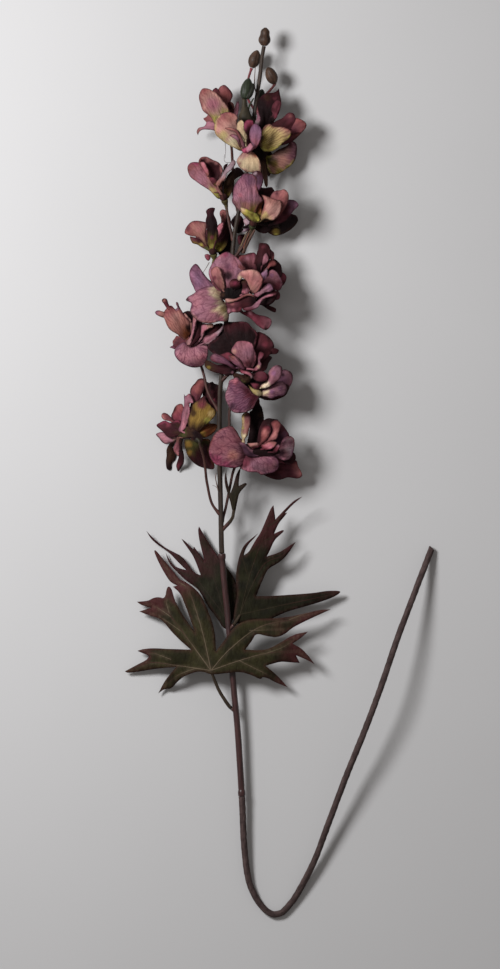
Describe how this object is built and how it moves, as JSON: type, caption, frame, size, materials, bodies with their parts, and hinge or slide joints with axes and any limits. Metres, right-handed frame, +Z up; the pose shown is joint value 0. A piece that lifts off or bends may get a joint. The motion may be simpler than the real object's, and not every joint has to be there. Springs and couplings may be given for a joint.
{
  "type": "artificial larkspur flower spray",
  "caption": "Artificial larkspur spray lying down: fabric blooms and moulded buds on short stalks, cut leaves below, and a coated wire stem bent back in a J.",
  "frame": {"origin": "centre of the spray's footprint, on the surface that it lies on", "axes": "+Y towards the tip of the spike, along its length; +X to the right seen from above, towards the cut end of the wire; +Z up from the surface"},
  "size_m": [0.1863, 0.5357, 0.0439],
  "materials": {
    "stem_plastic": "brown moulded plastic, satin",
    "sleeve_plastic": "dark red-brown plastic sleeve, slightly glossy",
    "wire_coating": "rough dark brown paper-like coating",
    "core_steel": "drawn steel wire",
    "bud_brown": "brown moulded plastic, satin",
    "bud_green": "dark green moulded plastic, satin",
    "leaf_fabric": "stiffened fabric, dark olive with maroon tips and pale veins",
    "bloom_fabric_tan": "fine printed fabric, tan and mauve with yellow-green bases",
    "bloom_fabric_brick": "fine printed fabric, brick red and maroon with olive backs",
    "bloom_fabric_mauve": "fine printed fabric, dusty mauve with darker veins",
    "bloom_fabric_maroon": "fine printed fabric, dark maroon and crimson"
  },
  "bodies": {
    "root": {"spike_stem": "stem_plastic", "leaf_sleeve": "sleeve_plastic", "wire_coat": "wire_coating", "wire_core": "core_steel", "bud_top": "bud_brown", "bud_left": "bud_brown", "bud_right": "bud_brown", "bud_green": "bud_green", "bud_small": "bud_green", "leaf_front": "leaf_fabric", "leaf_left": "leaf_fabric", "leaf_right": "leaf_fabric", "bract": "leaf_fabric", "bloom_01": "bloom_fabric_tan", "bloom_02": "bloom_fabric_tan", "bloom_03": "bloom_fabric_tan", "bloom_04": "bloom_fabric_brick", "bloom_05": "bloom_fabric_mauve", "bloom_06": "bloom_fabric_brick", "bloom_07": "bloom_fabric_mauve", "bloom_08": "bloom_fabric_maroon", "bloom_09": "bloom_fabric_mauve", "bloom_10": "bloom_fabric_maroon", "bloom_11": "bloom_fabric_mauve", "bloom_12": "bloom_fabric_brick", "bloom_13": "bloom_fabric_mauve"}
  },
  "joints": []
}
